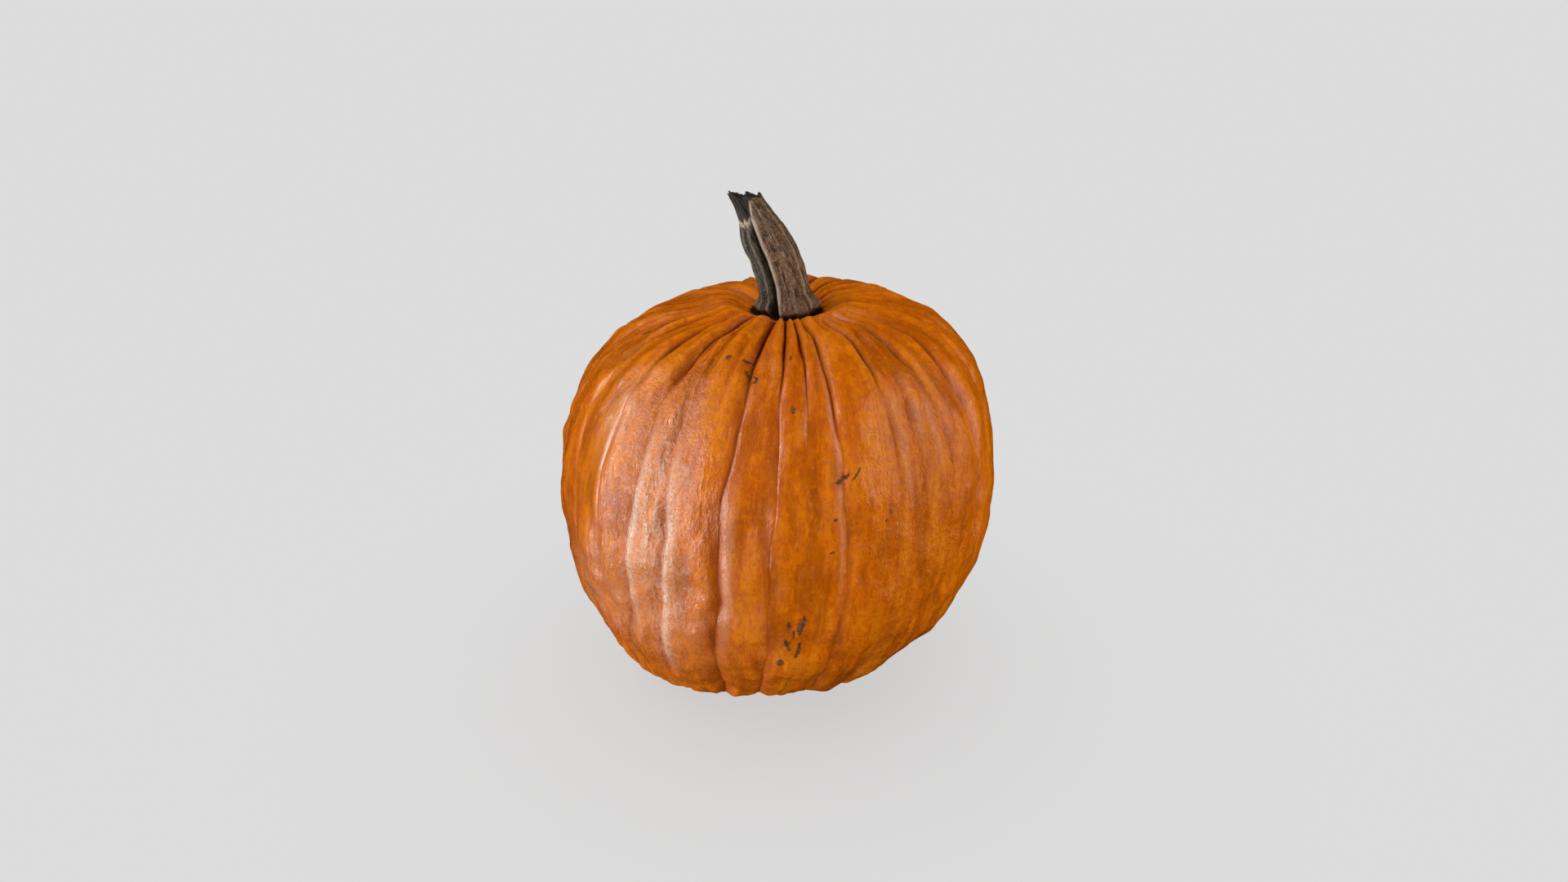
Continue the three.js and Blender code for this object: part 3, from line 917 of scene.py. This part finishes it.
# Grooves down the stem: azimuth, depth.
STEM_GROOVES = [
    (-53, 0.0020),
    (-23, 0.0054),
    (51, 0.0015),
    (105, 0.0032),
    (160, 0.0020),
    (215, 0.0032),
    (262, 0.0020),
]
GROOVE_WIDTH = 8

# Thin raised cords along the ridges: azimuth, width, height, how pale.
STEM_CORDS = [
    (-66, 3.0, 0.0003, 0.20),
    (-38, 2.2, 0.0006, 0.40),
    (-11, 4.5, 0.0008, 1.00),
    (22, 4.0, 0.0003, 0.15),
    (57, 3.0, 0.0002, 0.40),
    (92, 3.5, 0.0001, 0.30),
    (118, 3.5, 0.0005, 0.60),
    (172, 4.0, 0.0005, 0.50),
    (203, 3.0, 0.0004, 0.40),
    (228, 4.0, 0.0006, 0.80),
    (272, 3.0, 0.0005, 0.60),
]
FIBRE_DEPTH = 0.00030
CORE_FIBRE_DEPTH = 0.0006
TOE_BULGE = 0.0016
RIDGE_GROOVE = 0.0022
GROOVE_FULL_SHADE = 0.0040
KNOT_HEIGHT = 0.0005
FOOT_KNOT_HEIGHT = 0.0009

# The bark's broken edge, and the torn end of the core.
BARK_EDGE = 0.825
BARK_STEP = 0.0006
BARK_RIM = 0.0004
CORE_WAIST = 0.0012
TEAR_SLANT = 0.0055
TEAR_RAGGED = 0.0011
SPLINTER_HEIGHT = 0.0009
FINE_SPLINTERS = 0.0007
TEAR_DEPTH = 0.0034
PITH_RISE = 0.0016


def stem_line(share):
    """Points of the stem's centre line and its directions at shares of its length: a cubic curve through four
    guide points, stepped evenly along its run."""
    a, b, c, d = np.array([
        (0, 0, STEM_GAP),
        (0, 0, 0.3 * STEM_RISE),
        (0.46 * STEM_REACH, 0, 0.7 * STEM_RISE),
        (STEM_REACH, 0, STEM_RISE),
    ])
    t = np.linspace(0, 1, 2000)[:, None]
    curve = (1 - t) ** 3 * a + 3 * t * (1 - t) ** 2 * b + 3 * t**2 * (1 - t) * c + t**3 * d
    run = np.concatenate([[0.0], np.cumsum(np.linalg.norm(np.diff(curve, axis=0), axis=1))])
    slope = np.gradient(curve, axis=0)
    slope /= np.linalg.norm(slope, axis=1, keepdims=True)

    def at_shares(line):
        """Points of the line at the asked shares of its run, by straight steps between its own points."""
        return np.stack([np.interp(share * run[-1], run, line[:, k]) for k in range(3)], axis=-1)

    return at_shares(curve), at_shares(slope)


def stem_radius(azimuth, share):
    """Half thickness: even, flared and then tucked in at the foot, and narrower towards the tip, which on the
    right happens more gently."""
    flare = STEM_FLARE * np.exp(-((share / 0.13) ** 2))
    tuck = 0.002 * (1 - smoothstep(share, 0, 0.05))
    right = smoothstep(np.sin(np.radians(azimuth)), 0.2, 1.0)
    taper = (1 - right) * smoothstep(share, 0.62, 1) + right * 0.72 * smoothstep(share, 0.42, 0.95)
    return STEM_RADIUS + flare - tuck - STEM_TAPER * taper


def groove_cut(azimuth):
    """Depth of the grooves: a sum of falling exponentials of the angle away from each."""
    return sum(depth * np.exp(-angle_between(azimuth, a) / GROOVE_WIDTH) for a, depth in STEM_GROOVES)


def cords(azimuth, column):
    """The cords' heights or paleness (column 2 or 3): a sum of bell curves of the angle away from each."""
    away = [angle_between(azimuth, cord[0]) / cord[1] for cord in STEM_CORDS]
    return sum(cord[column] * np.exp(-(x**2)) for cord, x in zip(STEM_CORDS, away))


def bark_end(azimuth):
    """Share of the length at which the bark stops: short on the left, rising across the front to the tip on
    the right, and ragged."""
    bare = smoothstep(azimuth, -150, -110) * np.clip((48 - azimuth) / 66, 0, 1)
    ring = np.stack([np.sin(np.radians(azimuth)), np.cos(np.radians(azimuth)), 0 * azimuth], axis=-1)
    ragged = 0.018 * lattice_noise(ring, 0.16, 11) + 0.010 * lattice_noise(ring, 0.06, 12)
    return 1.06 - (1.06 - BARK_EDGE) * bare + ragged


def stem_fibres(azimuth, share, fine):
    """Lengthwise fibres: noise on the cylinder with cells much longer than they are wide."""
    turn = np.radians(azimuth)
    cylinder = np.stack([np.sin(turn), -np.cos(turn), share * 0.55 + 0 * turn], axis=-1)
    return lattice_noise(cylinder, 0.20 / fine, 21) + 0.6 * lattice_noise(cylinder, 0.085 / fine, 22)


def tear_height(azimuth):
    """How far the torn edge stands along the stem: a slant, waves, and narrow splinters."""
    turn = np.radians(azimuth)
    ring = np.stack([np.sin(turn), np.cos(turn), 0 * turn], axis=-1)
    waves = TEAR_RAGGED * (np.sin(5 * turn) + 0.6 * np.sin(9 * turn + 1)) - TEAR_SLANT * np.sin(turn)
    splinters = SPLINTER_HEIGHT * np.abs(lattice_noise(ring, 0.15, 31))
    return waves + splinters + FINE_SPLINTERS * lattice_noise(ring, 0.05, 32)


def build_stem():
    """Rings along the centre line, then rings that shrink into the hollow of the torn tip."""
    share = np.linspace(0, 1, STEM_ROWS)[:, None]
    azimuth = np.tile(np.arange(STEM_COLUMNS) * 360.0 / STEM_COLUMNS - 180.0, (STEM_ROWS, 1))
    twist = 1.6 * np.sin(5.0 * share + 0.6) + 0.8 * np.sin(13.0 * share)
    turned = azimuth + twist
    radius = stem_radius(azimuth, share)
    groove = groove_cut(turned) * (1 + 0.8 * np.exp(-((share / 0.12) ** 2)))
    bare = smoothstep(share - bark_end(azimuth), -0.004, 0.010)
    fibres = stem_fibres(turned, share, 1.0)
    ridge = 1 - np.clip(groove / RIDGE_GROOVE, 0, 1)
    toes = TOE_BULGE * ridge * np.exp(-(((share - 0.07) / 0.05) ** 2))
    knots = np.stack([turned / 30.0, 6.0 * share + 0 * turned, 0 * turned], axis=-1)
    knot_height = KNOT_HEIGHT + FOOT_KNOT_HEIGHT * np.exp(-((share / 0.16) ** 2))
    lumps = knot_height * lattice_noise(knots, 0.5, 23)
    bark = cords(turned, 2) * (1 - 0.5 * smoothstep(share, 0.75, 1)) + FIBRE_DEPTH * fibres + toes + lumps
    waist = CORE_WAIST * (1 - smoothstep(share, 0.86, 0.97))
    waist = waist * np.exp(-((angle_between(azimuth, -22) / 22) ** 2))
    core = -BARK_STEP - waist + CORE_FIBRE_DEPTH * stem_fibres(azimuth, 1.6 * share, 1.6)
    rim = BARK_RIM * np.exp(-((((share - bark_end(azimuth)) + 0.012) / 0.012) ** 2))
    scale = radius / STEM_RADIUS
    depth = (groove * (1 - 0.55 * bare)) * scale
    side = radius - depth + (1 - bare) * (bark + rim) * np.maximum(scale, 0.7) + bare * core
    lift = smoothstep(share, 0.80, 1.0) * tear_height(azimuth)

    # The torn tip: the last ring again at smaller and smaller sizes, sunk and then raised at the pith.
    shrink = np.linspace(1.0, 0.0, TIP_ROWS + 2)[1:-1, None]
    gap = 1 - shrink
    hollow = -TEAR_DEPTH * smoothstep(gap, 0.0, 0.4) + PITH_RISE * smoothstep(gap, 0.5, 0.8)
    tip_azimuth = np.tile(azimuth[:1], (TIP_ROWS, 1))
    turn = np.radians(tip_azimuth)
    spot = np.stack([shrink * np.sin(turn), shrink * np.cos(turn), 0 * turn], axis=-1)
    rough = 0.0011 * lattice_noise(spot, 0.30, 33) + 0.0006 * lattice_noise(spot, 0.12, 34)
    tip_side = shrink * side[-1:]
    tip_lift = shrink * tear_height(tip_azimuth) + hollow + rough * smoothstep(gap, 0.0, 0.2)

    share_all = np.concatenate([share, np.ones((TIP_ROWS, 1))])
    azimuth_all = np.concatenate([azimuth, tip_azimuth])
    side_all = np.concatenate([side, tip_side])[..., None]
    lift_all = np.concatenate([lift, tip_lift])[..., None]
    place, along = stem_line(share_all[:, 0])
    place, along = place[:, None, :], along[:, None, :]
    sideways = np.stack([along[..., 2], 0 * along[..., 2], -along[..., 0]], axis=-1)
    turn = np.radians(azimuth_all)[..., None]
    front = np.array([0.0, -1.0, 0.0])
    outward = np.sin(turn) * sideways + np.cos(turn) * front
    rings = SEAT_CENTRE + place + side_all * outward + lift_all * along
    foot_middle = SEAT_CENTRE + place[0, 0]
    tip_middle = SEAT_CENTRE + place[-1, 0] + along[-1, 0] * (PITH_RISE - TEAR_DEPTH)

    tip = np.ones((TIP_ROWS, STEM_COLUMNS))
    brown = smoothstep(turned, -30, -16) * (1 - 0.6 * smoothstep(turned, 120, 150)) + 0.4 * (turned < -110)
    paleness = cords(turned, 3) * (1 - bare)
    edge = np.exp(-((((share - bark_end(azimuth)) + 0.004) / 0.020) ** 2))
    edge = edge * smoothstep(0.98 - share, 0.0, 0.05)
    broad = smoothstep(share, 0.70, 0.82) * np.exp(-((angle_between(azimuth, -14) / 11) ** 2)) * (1 - bare)

    def with_tip(values, fill, middle):
        """Values down the stem, one value for all of the tip, and one for each closing point."""
        rows = np.concatenate([values + 0 * azimuth, fill * tip])
        return np.concatenate([rows.ravel(), middle])

    turn = turn[..., 0]
    grain = np.stack([np.sin(turn), -np.cos(turn), share_all * 5.0 + 0 * azimuth_all], axis=-1)
    attributes = {
        "brown": with_tip(brown, 0.0, [0.5, 0.0]),
        "pale": with_tip(np.clip(paleness + 1.3 * edge + broad, 0, 1), 0.0, [0.0, 0.0]),
        "groove": with_tip(np.clip(groove * scale / GROOVE_FULL_SHADE, 0, 1) * (1 - 0.6 * bare), 0.6, [1.0, 0.6]),
        "bare": with_tip(bare, 1.0, [0.0, 1.0]),
        "share": with_tip(share, 1.0, [0.0, 1.0]),
        "grain": np.concatenate([grain.reshape(-1, 3), [(0.0, 0.0, 0.0), (0.0, 0.0, 5.0)]]),
    }
    return piece_from_rings("stem_bark", rings, [foot_middle, tip_middle], attributes)


BARK_BROWN = (0.260, 0.126, 0.050, 1.0)
BARK_UMBER = (0.034, 0.014, 0.006, 1.0)
BARK_GREEN = (0.105, 0.100, 0.056, 1.0)
BARK_MOSS = (0.016, 0.017, 0.010, 1.0)
BARK_CREAM = (0.640, 0.520, 0.380, 1.0)
CORE_GREY = (0.125, 0.097, 0.080, 1.0)
CORE_BLACK_AND_SHADE = (0.024, 0.017, 0.013, 1.0)
FOOT_ROSE = (0.280, 0.150, 0.095, 1.0)
BARK_SPECULAR = 0.2


def bark_material():
    """Dry matt bark: dull green on the left ridges and brown on the right, streaked by fibres, cream along the
    cords and the broken edge, nearly black on the core, and darkened nearly black with painted shade in the
    grooves and where the foot meets the fruit."""
    material, tree, shader = material_nodes("stem_bark")
    n = Nodes(tree)
    place = n.object_place()
    grain = n.attribute("grain", "Vector")
    fibres = n.noise(n.stretched(grain, (14.0, 14.0, 1.6)), 1.0, 4.0, 0.65)
    threads = n.noise(n.stretched(grain, (40.0, 40.0, 3.5)), 1.0, 3.0, 0.6)
    flecks = n.noise(place, 900.0, 3.0, 0.6)
    blots = n.noise(place, 260.0, 3.0, 0.6)
    share = n.attribute("share")

    brown = n.blend(n.spread(fibres, 0.38, 0.58), BARK_UMBER, BARK_BROWN)
    green = n.blend(n.spread(fibres, 0.42, 0.62), BARK_MOSS, BARK_GREEN)
    colour = n.tinted(n.blend(n.attribute("brown"), green, brown), [
        (threads, 0.56, 0.68, 0.45, BARK_CREAM),
        (flecks, 0.50, 0.40, 0.55, BARK_UMBER),
        (flecks, 0.58, 0.70, 0.40, BARK_CREAM),
        (threads, 0.46, 0.34, 0.80, BARK_UMBER),
        (blots, 0.54, 0.66, 0.60, BARK_MOSS),
    ])
    foot = n.times(n.spread(share, 0.16, 0.04, 0.0, 0.8), n.spread(blots, 0.42, 0.60))
    # Rose toes, then painted shade where the foot meets the fruit.
    colour = n.tinted(n.blend(foot, colour, FOOT_ROSE), [(share, 0.06, 0.01, 0.9, CORE_BLACK_AND_SHADE)])
    pale = n.times(n.attribute("pale"), n.spread(threads, 0.34, 0.58, 0.45, 1.0))
    colour = n.blend(pale, colour, BARK_CREAM)
    core = n.blend(n.spread(threads, 0.44, 0.66), CORE_BLACK_AND_SHADE, CORE_GREY)
    colour = n.blend(n.times(n.attribute("bare"), n.maths("SUBTRACT", 1.0, pale)), colour, core)
    # Painted shade, nearly black, in the grooves.
    colour = n.tinted(colour, [(n.attribute("groove"), 0.45, 0.95, 0.85, CORE_BLACK_AND_SHADE)])
    normal = n.bumps([(flecks, 0.0007, 0.6), (threads, 0.0012, 0.9), (fibres, 0.0016, 0.9)])
    n.join(shader, colour, n.spread(fibres, 0.3, 0.7, 0.92, 0.72), BARK_SPECULAR, normal)
    return material


stem = build_stem()
stem.data.materials.append(bark_material())
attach(stem, "root")
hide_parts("stem")
